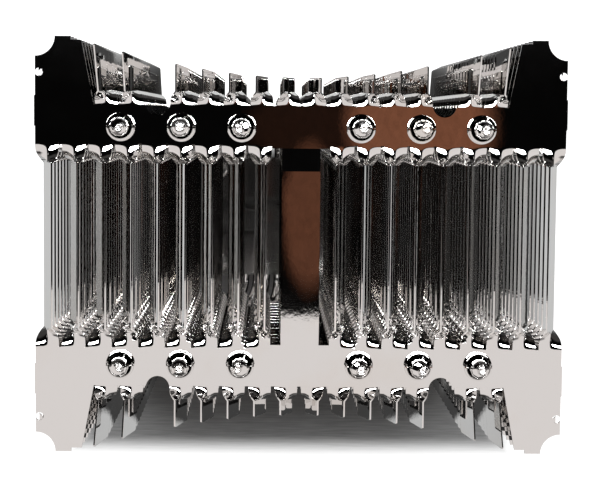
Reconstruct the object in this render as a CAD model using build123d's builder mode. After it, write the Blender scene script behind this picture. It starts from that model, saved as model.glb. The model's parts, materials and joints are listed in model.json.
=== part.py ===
from build123d import *
import os
from math import atan, cos, degrees, pi, radians, sin

# Passive tower cooler for a processor, standing on its contact face.
# Millimetres. +Z runs up the tower, X along the long side of the fins, Y along the short side.
# The origin is the middle of the contact face.

# Fin stack
fin_length = 140.0
fin_depth = 110.0
sheet = 0.5
fin_count = 15
fin_pitch = 7.0
lowest_fin_height = 51.5

# Fin plate: two bands that hold the pipes, a bridge between them and four ears
band_inner_y = 27.0
band_outer_y = 37.2
bridge_width = 10.0
bridge_edge = 1.0
bridge_ramp = 6.0
bridge_rise = 1.5
ear_width = 12.2
ear_slit_y = 36.0
ear_slit_slant = 3.4
corner_cut_radius = 5.2
clip_notch_radius = 1.1
clip_notch_inset = 0.8
clip_notch_y = 46.0
collar_height = 2.5
collar_wall = 0.6
side_notch_x = 37.7
side_notch_width = 6.3
side_notch_depth = 2.7
notch_sides = 8

# Louvres between the bands, and tabs on the two long edges
louvre_count = 9
louvre_pitch = 7.0
louvre_width = 6.1
louvre_tilt = 60.0
louvre_neck = 5.2
tab_width = 6.0
tab_tilt = 60.0
tab_neck = 3.4
inner_tab_count = 5
inner_tab_x = 3.5
inner_tab_pitch = 7.0
outer_tab_x = 44.4
outer_tab_pitch = 6.8
outer_tab_count = 2
tab_tip_y = 44.0
tab_arc_radius = 138.0

# Heat pipes: six, each bent to a U, drawn with flat sides and mitred bends
pipe_diameter = 6.0
pipe_sides = 8
pipe_clearance = 0.05
pipe_pairs = 3
pipe_inner_x = 15.75
pipe_pitch = 15.9
pipe_row_y = 31.5
pipe_base_pitch = 7.2
pipe_height = 8.0
pipe_fan_height = 42.0
pipe_foot_radius = 10.0
pipe_knee_radius = 15.0
pipe_bend_step = 24.0
pipe_standing_out = 5.2
tip_shoulder = 1.6
tip_nipple_length = 1.2
tip_nipple_diameter = 2.2

# Base: a contact plate and a cap that clamp the pipes, with four screws
base_length = 58.0
base_depth = 40.0
base_corner = 2.0
cap_height = 8.0
channel_depth = 1.5
channel_width = 14.0
bar_hole_radius = 2.0
bar_hole_margin = 4.0
screw_sides = 8
screw_inset = 4.0
screw_diameter = 3.0
screw_clearance = 0.05
screw_depth = 5.0
screw_end_room = 0.3
screw_head_diameter = 5.5
screw_head_height = 2.5

os.makedirs("parts", exist_ok=True)

half_length = fin_length / 2
half_depth = fin_depth / 2
fin_heights = [lowest_fin_height + k * fin_pitch for k in range(fin_count)]
plate_top = fin_heights[-1] + sheet
pipe_xs = [pipe_inner_x + k * pipe_pitch for k in range(pipe_pairs)]
pipe_base_xs = [(k + 0.5) * pipe_base_pitch for k in range(pipe_pairs)]
hole_width = pipe_diameter + 2 * pipe_clearance
tip_narrowing = (pipe_diameter - tip_nipple_diameter) / 2 * cos(pi / pipe_sides)
tip_taper = degrees(atan(tip_narrowing / tip_shoulder))
louvre_xs = [
    half_length - louvre_width / 2 - k * louvre_pitch for k in range(louvre_count)
]
tab_xs = [inner_tab_x + k * inner_tab_pitch for k in range(inner_tab_count)]
tab_xs += [outer_tab_x + k * outer_tab_pitch for k in range(outer_tab_count)]
sides = [(sx, sy) for sx in (-1, 1) for sy in (-1, 1)]


def save(name, shape):
    """Labels a finished piece and writes it to its own file."""
    shape.label = name
    export_step(shape, f"parts/{name}.step")


def tab_end(x):
    """Y of the tabs' tips at x: they end on a shallow arc, lowest in the middle."""
    return tab_tip_y + x**2 / (2 * tab_arc_radius)


def ear_outline():
    """Corner ear in the +X +Y quarter, from the band out to the end of the fin."""
    ear_x = half_length - ear_width
    return [
        (half_length, band_inner_y),
        (half_length, half_depth),
        (ear_x, half_depth),
        (ear_x - ear_slit_slant, ear_slit_y),
        (ear_x - ear_slit_slant, band_inner_y),
    ]


def quarters(points):
    """The outline of one quarter, drawn in all four quarters of the fin."""
    for sx, sy in sides:
        Polygon(*[(sx * x, sy * y) for x, y in points], align=None)


def blade_plane(x, y, height):
    """Section plane of a louvre or tab, looking along +Y, at the middle of the sheet."""
    return Plane(origin=(x, y, height + sheet / 2), x_dir=(1, 0, 0), z_dir=(0, -1, 0))


def plain_blade(x, y_start, y_end, width, tilt, height):
    """Louvre or tab of a lower fin: a wedge of the sheet's own volume, its thick edge low."""
    low = -width / 2 if tilt > 0 else width / 2
    with BuildPart() as blade:
        with BuildSketch(blade_plane(x, y_start, height)):
            with Locations(Rotation(0, 0, tilt)):
                Polygon((low, -sheet), (low, sheet), (-low, 0), align=None)
        extrude(amount=y_start - y_end)
    return blade.part


def twisted_sheet(sections, height):
    """Louvre or tab of the top fin, from flat roots to a tilted blade.

    Each section is (x, left y, right y, half width, tilt). Flat facets join one section to the next,
    with the same diagonal on both broad sides, which keeps the sheet's thickness.
    """
    rings = []
    for x, y_left, y_right, half, tilt in sections:
        across = Vector(cos(radians(tilt)), 0, sin(radians(tilt))) * half
        up = Vector(-sin(radians(tilt)), 0, cos(radians(tilt))) * (sheet / 2)
        a = Vector(x, y_left, height + sheet / 2) - across
        b = Vector(x, y_right, height + sheet / 2) + across
        rings.append([a - up, b - up, b + up, a + up])
    faces = [Face(Wire.make_polygon(ring, close=True)) for ring in (rings[0], rings[-1])]
    for near, far in zip(rings, rings[1:]):
        for i, j in ((0, 1), (1, 2), (3, 2), (0, 3)):
            for corners in ((near[i], near[j], far[j]), (near[i], far[j], far[i])):
                faces.append(Face(Wire.make_polygon(corners, close=True)))
    return Solid(Shell(faces))


def plate_outline(hole):
    """Flat pattern of a fin without its louvres and tabs; hole draws one pipe hole."""
    with Locations((0, (band_inner_y + band_outer_y) / 2), (0, -(band_inner_y + band_outer_y) / 2)):
        Rectangle(fin_length, band_outer_y - band_inner_y)
    quarters(ear_outline())
    with Locations(*[(sx * x, sy * pipe_row_y) for x in pipe_xs for sx, sy in sides]):
        hole()


def square_hole():
    """Pipe hole of a lower fin, with flats that meet the pipe at its four sides."""
    Rectangle(hole_width, hole_width, mode=Mode.SUBTRACT)


def fitted_hole():
    """Pipe hole of the top fin, with as many sides as the pipe is drawn with."""
    RegularPolygon(hole_width / 2, pipe_sides, major_radius=False, mode=Mode.SUBTRACT)


def lower_fin(height):
    """A fin below the top one: flat plate, with plain tilted louvres and tabs that meet its edges."""
    with BuildPart() as plate:
        with BuildSketch(Plane.XY.offset(height)):
            plate_outline(square_hole)
            Rectangle(bridge_width, 2 * band_inner_y)
        extrude(amount=sheet)
    pieces = [plate.part]
    for sx in (-1, 1):
        for x in louvre_xs:
            pieces.append(
                plain_blade(sx * x, band_inner_y, -band_inner_y, louvre_width, -sx * louvre_tilt, height)
            )
        for x in tab_xs:
            for sy in (-1, 1):
                pieces.append(
                    plain_blade(
                        sx * x, sy * band_outer_y, sy * tab_end(x), tab_width, sx * tab_tilt, height
                    )
                )
    return Compound(children=pieces)


def louvre_sections(sx, x):
    """Sections of a top louvre: flat roots at the two bands and the tilted blade between them."""
    blade_y = band_inner_y - louvre_neck
    tilt = -sx * louvre_tilt
    stations = [(band_inner_y, 0), (blade_y, tilt), (-blade_y, tilt), (-band_inner_y, 0)]
    return [(sx * x, y, y, louvre_width / 2, angle) for y, angle in stations]


def tab_sections(sx, sy, x):
    """Sections of a top tab: flat root, and a tilted blade whose tip follows the fin's arc."""
    half = tab_width / 2
    root_y = sy * band_outer_y
    neck_y = sy * (band_outer_y + tab_neck)
    tips = [sy * tab_end(sx * x - half), sy * tab_end(sx * x + half)]
    return [
        (sx * x, root_y, root_y, half, 0),
        (sx * x, neck_y, neck_y, half, sx * tab_tilt),
        (sx * x, *tips, half, sx * tab_tilt),
    ]


def top_fin(height):
    """The fin that shows: one sheet with notched ears, a raised bridge and twisted louvres."""
    notch_y = band_outer_y - side_notch_depth + side_notch_width / 2
    clip_notch_x = half_length - clip_notch_inset
    ramp_y = band_inner_y - bridge_edge
    flat_y = ramp_y - bridge_ramp
    ramp = [(band_inner_y, 0), (ramp_y, 0), (flat_y, bridge_rise)]
    ramp += [(-y, z) for y, z in reversed(ramp)]
    with BuildPart() as fin:
        with BuildSketch(Plane.XY.offset(height)):
            plate_outline(fitted_hole)
            with Locations(*[(sx * half_length, sy * half_depth) for sx, sy in sides]):
                Circle(corner_cut_radius, mode=Mode.SUBTRACT)
            with Locations(*[(sx * side_notch_x, sy * notch_y) for sx, sy in sides]):
                Circle(side_notch_width / 2, mode=Mode.SUBTRACT)
            with Locations(*[(sx * clip_notch_x, sy * clip_notch_y) for sx, sy in sides]):
                RegularPolygon(clip_notch_radius, notch_sides, mode=Mode.SUBTRACT)
        extrude(amount=sheet)
        with BuildSketch(Plane(origin=(0, 0, height), x_dir=(0, 1, 0), z_dir=(1, 0, 0))):
            Polygon(*ramp, *[(y, z + sheet) for y, z in reversed(ramp)], align=None)
        extrude(amount=bridge_width / 2, both=True)
        with BuildSketch(Plane.XY.offset(height + sheet)):
            with Locations(*[(sx * x, sy * pipe_row_y) for x in pipe_xs for sx, sy in sides]):
                RegularPolygon(hole_width / 2 + collar_wall, pipe_sides, major_radius=False)
                fitted_hole()
        extrude(amount=collar_height)
        add([twisted_sheet(louvre_sections(sx, x), height) for x in louvre_xs for sx in (-1, 1)])
        add([twisted_sheet(tab_sections(sx, sy, x), height) for x in tab_xs for sx, sy in sides])
    return fin.part


for number, height in enumerate(fin_heights, start=1):
    fin = top_fin(height) if number == fin_count else lower_fin(height)
    save(f"fin_{number:02d}", fin)


def heat_pipe(fin_x, base_x):
    """One U pipe: from its sealed tip down a leg, out to the base, through it and up again."""
    leg_top = plate_top + pipe_standing_out
    corners = [
        (fin_x, pipe_row_y, leg_top),
        (fin_x, pipe_row_y, pipe_fan_height),
        (base_x, pipe_row_y, pipe_height),
        (base_x, 0, pipe_height),
    ]
    with BuildLine() as route:
        FilletPolyline(*corners, radius=[pipe_knee_radius, pipe_foot_radius])
    stops = []
    for edge in route.wire().order_edges():
        turn = edge.length / edge.radius if edge.geom_type == GeomType.CIRCLE else 0
        steps = max(1, round(turn / radians(pipe_bend_step)))
        stops += [edge @ (i / steps) for i in range(steps)]
    with BuildPart() as pipe:
        with BuildLine() as centre:
            Polyline(*stops, corners[-1])
        with BuildSketch(Plane(origin=corners[0], x_dir=(1, 0, 0), z_dir=(0, 0, -1))):
            RegularPolygon(pipe_diameter / 2, pipe_sides)
        sweep(path=centre.line, transition=Transition.RIGHT)
        with BuildSketch(Plane(origin=corners[0])):
            RegularPolygon(pipe_diameter / 2, pipe_sides)
        extrude(amount=tip_shoulder, taper=tip_taper)
        with BuildSketch(Plane(origin=corners[0]).offset(tip_shoulder)):
            RegularPolygon(tip_nipple_diameter / 2, pipe_sides)
        extrude(amount=tip_nipple_length)
        mirror(about=Plane.XZ)
    return pipe.part


pipe_number = 0
for sx in (-1, 1):
    for fin_x, base_x in zip(pipe_xs, pipe_base_xs):
        pipe_number += 1
        save(f"heat_pipe_{pipe_number}", heat_pipe(sx * fin_x, sx * base_x))


base_top = pipe_height + cap_height
screw_x = base_length / 2 - screw_inset
screw_y = base_depth / 2 - screw_inset
screw_hole_width = screw_diameter + 2 * screw_clearance
screw_places = [(sx * screw_x, sy * screw_y) for sx, sy in sides]


def grooved_block(bottom, height, hole_bottom):
    """Base block with a groove for each pipe along Y, and screw holes from its top down."""
    with BuildPart() as block:
        with BuildSketch(Plane.XY.offset(bottom)):
            Rectangle(base_length, base_depth)
        extrude(amount=height)
        chamfer(block.edges().filter_by(Axis.Z), base_corner)
        with BuildSketch(Plane(origin=(0, 0, pipe_height), x_dir=(1, 0, 0), z_dir=(0, -1, 0))):
            with Locations(*[(sx * x, 0) for x in pipe_base_xs for sx in (-1, 1)]):
                RegularPolygon(hole_width / 2, pipe_sides, major_radius=False)
        extrude(amount=base_depth, both=True, mode=Mode.SUBTRACT)
        with BuildSketch(Plane.XY.offset(hole_bottom)):
            with Locations(*screw_places):
                RegularPolygon(screw_hole_width / 2, screw_sides, major_radius=False)
        extrude(amount=bottom + height - hole_bottom, mode=Mode.SUBTRACT)
    return block.part


save("base_plate", grooved_block(0, pipe_height, pipe_height - screw_depth - screw_end_room))

with BuildPart() as base_cap:
    add(grooved_block(pipe_height, cap_height, pipe_height))
    with BuildSketch(Plane.XY.offset(base_top)):
        Rectangle(base_length, channel_width)
    extrude(amount=-channel_depth, mode=Mode.SUBTRACT)
    with BuildSketch(Plane.XY.offset(base_top)):
        bar_hole_x = base_length / 2 - bar_hole_margin
        with Locations((-bar_hole_x, 0), (bar_hole_x, 0)):
            Circle(bar_hole_radius)
    extrude(amount=-cap_height, mode=Mode.SUBTRACT)
save("base_cap", base_cap.part)

with BuildPart() as cap_screws:
    with BuildSketch(Plane.XY.offset(pipe_height - screw_depth)):
        with Locations(*screw_places):
            RegularPolygon(screw_diameter / 2, screw_sides)
    extrude(amount=screw_depth + cap_height)
    with BuildSketch(Plane.XY.offset(base_top)):
        with Locations(*screw_places):
            RegularPolygon(screw_head_diameter / 2, screw_sides)
    extrude(amount=screw_head_height)
save("cap_screws", cap_screws.part)
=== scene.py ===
"""Looks of a passive tower cooler: mirror-plated sheet fins on six bent heat pipes, over a plated base.

Pieces are drawn in millimetres, by the functions at the top, and then scaled to metres. Finishes, table
and light are in metres. Angles are in degrees. +Z runs up the tower and X along the long side of the fins.
The camera looks down on the top fin.
"""

from __future__ import annotations

import functools
import json
import logging
import math
from collections.abc import Callable, Iterable
from dataclasses import dataclass, field
from enum import Enum

import bmesh
import bpy
from mathutils import Matrix, Vector

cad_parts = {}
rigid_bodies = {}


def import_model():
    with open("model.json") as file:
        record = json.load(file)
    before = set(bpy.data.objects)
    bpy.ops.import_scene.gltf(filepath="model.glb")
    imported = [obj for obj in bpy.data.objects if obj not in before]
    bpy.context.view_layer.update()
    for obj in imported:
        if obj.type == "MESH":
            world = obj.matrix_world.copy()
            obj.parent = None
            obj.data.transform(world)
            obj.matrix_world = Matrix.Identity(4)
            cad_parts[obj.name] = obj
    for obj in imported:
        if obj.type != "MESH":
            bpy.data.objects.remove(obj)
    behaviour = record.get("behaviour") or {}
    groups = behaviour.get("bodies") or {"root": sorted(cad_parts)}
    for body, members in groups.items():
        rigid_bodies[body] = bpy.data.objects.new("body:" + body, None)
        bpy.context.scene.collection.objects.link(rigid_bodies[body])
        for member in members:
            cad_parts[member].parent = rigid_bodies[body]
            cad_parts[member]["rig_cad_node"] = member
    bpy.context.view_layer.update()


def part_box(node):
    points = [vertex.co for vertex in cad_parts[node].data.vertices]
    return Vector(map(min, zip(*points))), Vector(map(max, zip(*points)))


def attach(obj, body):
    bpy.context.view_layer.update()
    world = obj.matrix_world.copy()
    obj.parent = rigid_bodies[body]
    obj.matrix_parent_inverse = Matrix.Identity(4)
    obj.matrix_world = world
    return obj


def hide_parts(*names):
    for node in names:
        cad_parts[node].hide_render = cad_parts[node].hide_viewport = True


Thing = bpy.types.Object
Look = bpy.types.Material
Socket = bpy.types.NodeSocket
Colour = tuple[float, float, float, float]
Pair = tuple[float, float]
Triple = tuple[float, float, float]

LOG = logging.getLogger("cooler")
METRES = 0.001

# Tolerances in millimetres: to pick by place, to merge doubles, and across a mirror's seam.
NEAR = 0.02
DOUBLES = 0.002
SEAM = 0.005

# Where the tubes pass the fins and the base, in millimetres.
PIPE_XS = (15.75, 31.65, 47.55)
PIPE_ROW_Y = 31.5
BASE_PITCH = 7.2
BASE_Z = 8.0
QUARTERS = [(sx, sy) for sx in (-1, 1) for sy in (-1, 1)]


class Slot(Enum):
    """Material slots of the record."""

    FIN = "fin_sheet"
    PIPE = "plated_pipe"
    BASE = "plated_base"
    SCREW = "steel"


def clear() -> None:
    """Leaves edit mode and deselects every object."""
    if bpy.context.object and bpy.context.object.mode != "OBJECT":
        bpy.ops.object.mode_set(mode="OBJECT")
    bpy.ops.object.select_all(action="DESELECT")


def activate(piece: Thing) -> None:
    """Makes a piece the only selected one, in object mode.

    Args:
        piece: The piece.
    """
    clear()
    bpy.context.view_layer.objects.active = piece
    piece.select_set(True)


def edit(piece: Thing) -> None:
    """Opens a piece in edit mode with nothing selected.

    Args:
        piece: The piece.
    """
    activate(piece)
    bpy.ops.object.mode_set(mode="EDIT")
    bpy.ops.mesh.select_mode(type="VERT")
    bpy.ops.mesh.select_all(action="DESELECT")


def take(test: Callable[[Vector], bool]) -> None:
    """Selects the vertices that pass a test on their place, and what lies between them.

    Args:
        test: Tells of a vertex's place whether it is selected.
    """
    bpy.ops.mesh.select_all(action="DESELECT")
    mesh = bpy.context.object.data
    sheet = bmesh.from_edit_mesh(mesh)
    for vertex in sheet.verts:
        vertex.select = test(vertex.co)
    sheet.select_flush(True)
    bmesh.update_edit_mesh(mesh)


def take_all() -> None:
    """Selects the whole mesh."""
    bpy.ops.mesh.select_all(action="SELECT")


def take_edges(piece: Thing, test: Callable[[bmesh.types.BMEdge], bool]) -> None:
    """Opens a piece in edit mode and selects the edges that pass a test.

    Args:
        piece: The piece.
        test: Tells of an edge whether it is selected.
    """
    edit(piece)
    bpy.ops.mesh.select_mode(type="EDGE")
    sheet = bmesh.from_edit_mesh(piece.data)
    for edge in sheet.edges:
        edge.select = test(edge)
    bmesh.update_edit_mesh(piece.data)


def pull(x: float = 0, y: float = 0, z: float = 0) -> None:
    """Extrudes the selection and moves what is new."""
    bpy.ops.mesh.extrude_region_move(TRANSFORM_OT_translate={"value": (x, y, z)})


def move(x: float = 0, y: float = 0, z: float = 0) -> None:
    """Moves the selection."""
    bpy.ops.transform.translate(value=(x, y, z))


def scale(factor: float, centre: Iterable[float], x: float = 1, z: float = 1) -> None:
    """Scales the selection about a point, by one factor times a factor for X or Z."""
    value = (factor * x, factor, factor * z)
    bpy.ops.transform.resize(value=value, center_override=tuple(centre))


def turn(angle: float, axis: str, centre: Iterable[float]) -> None:
    """Turns the selection. About Y, a positive angle lifts the +X side."""
    bpy.ops.transform.rotate(value=math.radians(angle), orient_axis=axis, center_override=tuple(centre))


def bend(angle: float, centre: Vector, axis: Vector, steps: int) -> None:
    """Spins the selection, by the right-hand rule about the axis."""
    bpy.ops.mesh.spin(steps=steps, angle=math.radians(angle), center=centre, axis=-axis)


def cut(point: Iterable[float], normal: Iterable[float]) -> None:
    """Cuts the selected faces with a plane and keeps both sides."""
    bpy.ops.mesh.bisect(plane_co=tuple(point), plane_no=tuple(normal), use_fill=False)


def settle(name: str, scale: Iterable[float] = (1, 1, 1)) -> Thing:
    """Names the active object, and puts a scale, its turn and its place into its mesh.

    Args:
        name: The new name.
        scale: Factors along X, Y and Z.

    Returns:
        The object.
    """
    piece = bpy.context.object
    piece.name = name
    piece.scale = tuple(scale)
    bpy.ops.object.transform_apply(location=True, rotation=True, scale=True)
    return piece


def plane(name: str, low: Pair, high: Pair) -> Thing:
    """A flat rectangle at z 0 between two corners.

    Args:
        name: Name of the piece.
        low: Lowest corner.
        high: Highest corner.

    Returns:
        The rectangle.
    """
    clear()
    centre = ((low[0] + high[0]) / 2, (low[1] + high[1]) / 2, 0)
    bpy.ops.mesh.primitive_plane_add(size=1, location=centre)
    return settle(name, (high[0] - low[0], high[1] - low[1], 1))


def block(name: str, low: Iterable[float], high: Iterable[float]) -> Thing:
    """A box between two corners.

    Args:
        name: Name of the piece.
        low: Lowest corner.
        high: Highest corner.

    Returns:
        The box.
    """
    clear()
    low, high = Vector(low), Vector(high)
    bpy.ops.mesh.primitive_cube_add(size=1, location=(low + high) / 2)
    return settle(name, high - low)


def rod(name: str, radius: float, length: float, centre: Triple, sides: int, tip: float = 0) -> Thing:
    """A round bar about a centre, upright or tipped over about X by an angle.

    Args:
        name: Name of the piece.
        radius: Its radius.
        length: Its length.
        centre: Its middle.
        sides: Number of its sides.
        tip: The angle, 0 for an upright bar.

    Returns:
        The bar.
    """
    clear()
    turned = (math.radians(tip), 0, 0)
    bpy.ops.mesh.primitive_cylinder_add(
        vertices=sides, radius=radius, depth=length, location=centre, rotation=turned
    )
    return settle(name)


def lathe(name: str, outline: list[Pair], sides: int, closed: bool) -> Thing:
    """Draws a turned form about Z, ring by ring.

    Args:
        name: Name of the piece.
        outline: (radius, height) of each ring, in order.
        sides: Number of sides of a ring.
        closed: True joins the last ring to the first, False caps the first ring and leaves the
            last one open and selected in edit mode.

    Returns:
        The piece. It is in edit mode if it isn't closed.
    """
    clear()
    radius, height = outline[0]
    fill = "NOTHING" if closed else "NGON"
    bpy.ops.mesh.primitive_circle_add(vertices=sides, radius=radius, fill_type=fill, location=(0, 0, height))
    piece = settle(name)
    edit(piece)
    take_all()
    if not closed:
        bpy.ops.mesh.select_mode(type="EDGE")
        bpy.ops.mesh.region_to_loop()
    for new_radius, new_height in outline[1:]:
        pull(z=new_height - height)
        scale(new_radius / radius, (0, 0, new_height), z=radius / new_radius)
        radius, height = new_radius, new_height
    if closed:
        tidy(piece)
    return piece


def tidy(piece: Thing) -> None:
    """Merges doubles, turns the faces outwards and leaves edit mode.

    Args:
        piece: The piece.
    """
    edit(piece)
    take_all()
    bpy.ops.mesh.remove_doubles(threshold=DOUBLES)
    bpy.ops.mesh.normals_make_consistent(inside=False)
    clear()


def modify(piece: Thing, kind: str, **settings: object) -> None:
    """Adds a modifier with its settings and applies it.

    Args:
        piece: The piece.
        kind: Blender's name of the modifier.
        **settings: Properties of the modifier.
    """
    activate(piece)
    modifier = piece.modifiers.new(kind.lower(), kind)
    for name, value in settings.items():
        setattr(modifier, name, value)
    bpy.ops.object.modifier_apply(modifier=modifier.name)


def mirror(piece: Thing, x: bool, y: bool) -> None:
    """Mirrors a piece across the middle planes and joins it there."""
    modify(piece, "MIRROR", use_axis=(x, y, False), use_mirror_merge=True, merge_threshold=SEAM)


def thicken(piece: Thing, thickness: float) -> None:
    """Gives a flat piece its thickness, half to each side, with the second material on its rim."""
    modify(piece, "SOLIDIFY", thickness=thickness, offset=0, use_even_offset=True, material_offset_rim=1)
    tidy(piece)


def join(pieces: list[Thing]) -> Thing:
    """Joins pieces into the first one.

    Args:
        pieces: The pieces, at least one.

    Returns:
        The first piece.
    """
    clear()
    for piece in pieces:
        piece.select_set(True)
    bpy.context.view_layer.objects.active = pieces[0]
    bpy.ops.object.join()
    return pieces[0]


def carve(piece: Thing, cutters: list[Thing]) -> None:
    """Takes the cutters out of a piece, and deletes them.

    Args:
        piece: The piece.
        cutters: What is taken out.
    """
    tool = join(cutters)
    modify(piece, "BOOLEAN", operation="DIFFERENCE", solver="EXACT", object=tool)
    bpy.data.objects.remove(tool)


def copy(piece: Thing, name: str, x: float = 0, y: float = 0, z: float = 0) -> Thing:
    """A copy with its own mesh, moved in its mesh.

    Args:
        piece: The piece.
        name: Name of the copy.
        x: Way along X.
        y: Way along Y.
        z: Way along Z.

    Returns:
        The copy.
    """
    twin = piece.copy()
    twin.data = piece.data.copy()
    twin.name = name
    twin.data.name = name
    twin.data.transform(Matrix.Translation((x, y, z)))
    bpy.context.scene.collection.objects.link(twin)
    return twin


def paint(piece: Thing, *materials: Look) -> None:
    """Replaces the materials of a piece.

    Args:
        piece: The piece.
        *materials: The new materials, in the order of the slots.
    """
    piece.data.materials.clear()
    for material in materials:
        piece.data.materials.append(material)


def soften(piece: Thing, angle: float) -> None:
    """Shades a piece smooth where its faces meet at less than an angle.

    Large faces keep their own normals, so flat metal mirrors like flat metal.

    Args:
        piece: The piece.
        angle: The angle.
    """
    activate(piece)
    bpy.ops.object.shade_smooth_by_angle(angle=math.radians(angle))
    modify(piece, "WEIGHTED_NORMAL", mode="FACE_AREA", weight=100, keep_sharp=True)


def to_metres(piece: Thing) -> None:
    """Scales a finished piece from millimetres to metres, in its mesh."""
    activate(piece)
    settle(piece.name, (METRES, METRES, METRES))


class Recipe:
    """Small helper that adds and links the nodes of one material or of the world."""

    def __init__(self, tree: bpy.types.NodeTree) -> None:
        """Empties the tree.

        Args:
            tree: Node tree of the material or world.
        """
        self.tree = tree
        self.tree.nodes.clear()

    def add(self, kind: str, settings: dict[str, object] | None = None, **sockets: object) -> bpy.types.Node:
        """Adds a node.

        Args:
            kind: Blender's name of the node type.
            settings: Properties of the node.
            **sockets: Values or output sockets for its inputs, named in lower case with underscores.

        Returns:
            The node.
        """
        node = self.tree.nodes.new(kind)
        for name, value in (settings or {}).items():
            setattr(node, name, value)
        for name, value in sockets.items():
            self.feed(node, name, value)
        return node

    def feed(self, node: bpy.types.Node, name: str, value: object) -> None:
        """Sets or links one input, named as text or by its number after an i.

        Args:
            node: The node.
            name: Name or number of the input.
            value: A value, or the output socket to link.
        """
        if name[0] == "i" and name[1:].isdigit():
            socket = node.inputs[int(name[1:])]
        else:
            wanted = name.replace("_", " ")
            socket = next(s for s in node.inputs if s.name.lower() == wanted and s.enabled)
        if isinstance(value, Socket):
            self.tree.links.new(value, socket)
        else:
            socket.default_value = value

    def math(self, operation: str, first: object, second: object = 0.0) -> Socket:
        """One sum, as a Math node's output."""
        return self.add("ShaderNodeMath", {"operation": operation}, i0=first, i1=second).outputs[0]

    def chain(self, operation: str, values: Iterable[object]) -> Socket:
        """One sum after another, from the first value to the last."""
        return functools.reduce(functools.partial(self.math, operation), values)

    def times(self, *values: object) -> Socket:
        """Product of two or more values."""
        return self.chain("MULTIPLY", values)

    def most(self, *values: object) -> Socket:
        """The largest of two or more values."""
        return self.chain("MAXIMUM", values)

    def minus(self, first: object, second: object) -> Socket:
        """The first value without the second."""
        return self.math("SUBTRACT", first, second)

    def vector(self, operation: str, first: Socket, second: Triple = (0, 0, 0)) -> Socket:
        """One sum on vectors."""
        node = self.add("ShaderNodeVectorMath", {"operation": operation}, i0=first, i1=second)
        return node.outputs["Value" if operation == "LENGTH" else "Vector"]

    def ramp(self, value: object, low: float, high: float) -> Socket:
        """Runs smoothly from 0 at low to 1 at high."""
        settings = {"interpolation_type": "SMOOTHSTEP"}
        return self.add("ShaderNodeMapRange", settings, value=value, from_min=low, from_max=high).outputs[0]

    def fall(self, value: object, low: float, high: float) -> Socket:
        """Runs smoothly from 1 at low to 0 at high."""
        return self.minus(1.0, self.ramp(value, low, high))

    def blend(self, factor: Socket, first: object, second: object) -> Socket:
        """Mixes two colours."""
        return self.add("ShaderNodeMix", {"data_type": "RGBA"}, i0=factor, i6=first, i7=second).outputs[2]

    def noise(self, place: Socket, scale: float, detail: float = 2.0) -> Socket:
        """Soft noise at a place, with its scale in waves per metre."""
        return self.add("ShaderNodeTexNoise", vector=place, scale=scale, detail=detail).outputs[0]

    def bump(self, height: Socket, distance: float, strength: object = 1.0, **below: Socket) -> Socket:
        """Tilts the normals by a height, over the normals of a bump below it."""
        node = self.add("ShaderNodeBump", height=height, distance=distance, strength=strength, **below)
        return node.outputs[0]

    def metal(self, tone: Socket, rough: object, normal: Socket, bare: object = 1.0) -> Socket:
        """Metal, apart from where bare is 0 and something dull lies on it."""
        settings = {"base_color": tone, "metallic": bare, "roughness": rough, "normal": normal}
        return self.add("ShaderNodeBsdfPrincipled", **settings).outputs[0]


@dataclass(frozen=True)
class Finish:
    """A procedural finish, worked out from the place on the piece.

    Attributes:
        name: Name of the material.
    """

    name: str

    def surface(self, recipe: Recipe, place: Socket) -> Socket:
        """Adds the nodes of the finish.

        Args:
            recipe: The material's nodes.
            place: Object coordinates.

        Returns:
            The shader.
        """
        raise NotImplementedError

    def later(self) -> Look:
        """Field of a dataclass that holds the material, built with the dataclass."""
        return field(default_factory=self.material)

    def material(self) -> Look:
        """Builds the material.

        Returns:
            The material.
        """
        made = bpy.data.materials.new(self.name)
        made.use_nodes = True
        recipe = Recipe(made.node_tree)
        place = recipe.add("ShaderNodeTexCoord").outputs["Object"]
        recipe.add("ShaderNodeOutputMaterial", surface=self.surface(recipe, place))
        return made


@dataclass(frozen=True)
class NickelFinish(Finish):
    """Bright nickel plate: a warm mirror with slight waves, a faint stain and a few specks of dust.

    Attributes:
        stain_range: Noise at which a patch starts, and at which it is full.
        rough: Lowest and highest roughness.
        dust: Radius of a speck, as a share of the spacing of the specks.
        dust_rare: Share of the places that have no speck.
    """

    colour: Colour = (0.83, 0.825, 0.82, 1)
    stain: Colour = (0.81, 0.785, 0.76, 1)
    stain_scale: float = 45.0
    stain_range: Pair = (0.5, 0.75)
    rough: Pair = (0.012, 0.03)
    rough_scale: float = 150.0
    wave_scale: float = 55.0
    wave_height: float = 0.00003
    ripple_scale: float = 900.0
    ripple_height: float = 0.000002
    dust: float = 0.03
    dust_rare: float = 0.72
    dust_scale: float = 260.0
    dust_colour: Colour = (0.75, 0.74, 0.72, 1)

    def surface(self, recipe: Recipe, place: Socket) -> Socket:
        """Adds the plate with its stains, dust and waves.

        Args:
            recipe: The material's nodes.
            place: Object coordinates.

        Returns:
            The shader.
        """
        patches = recipe.ramp(recipe.noise(place, self.stain_scale, 4), *self.stain_range)
        tone = recipe.blend(patches, self.colour, self.stain)
        cells = recipe.add("ShaderNodeTexVoronoi", vector=place, scale=self.dust_scale).outputs
        chosen = recipe.math("GREATER_THAN", cells["Color"], self.dust_rare)
        dust = recipe.times(chosen, recipe.math("LESS_THAN", cells["Distance"], self.dust))
        low, high = self.rough
        cloud = recipe.noise(place, self.rough_scale, 3)
        gloss = recipe.add("ShaderNodeMapRange", value=cloud, to_min=low, to_max=high).outputs[0]
        waves = recipe.bump(recipe.noise(place, self.wave_scale, 1), self.wave_height)
        ripples = recipe.bump(recipe.noise(place, self.ripple_scale), self.ripple_height, normal=waves)
        dusty = recipe.blend(dust, tone, self.dust_colour)
        return recipe.metal(dusty, gloss, ripples, recipe.minus(1.0, dust))


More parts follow.
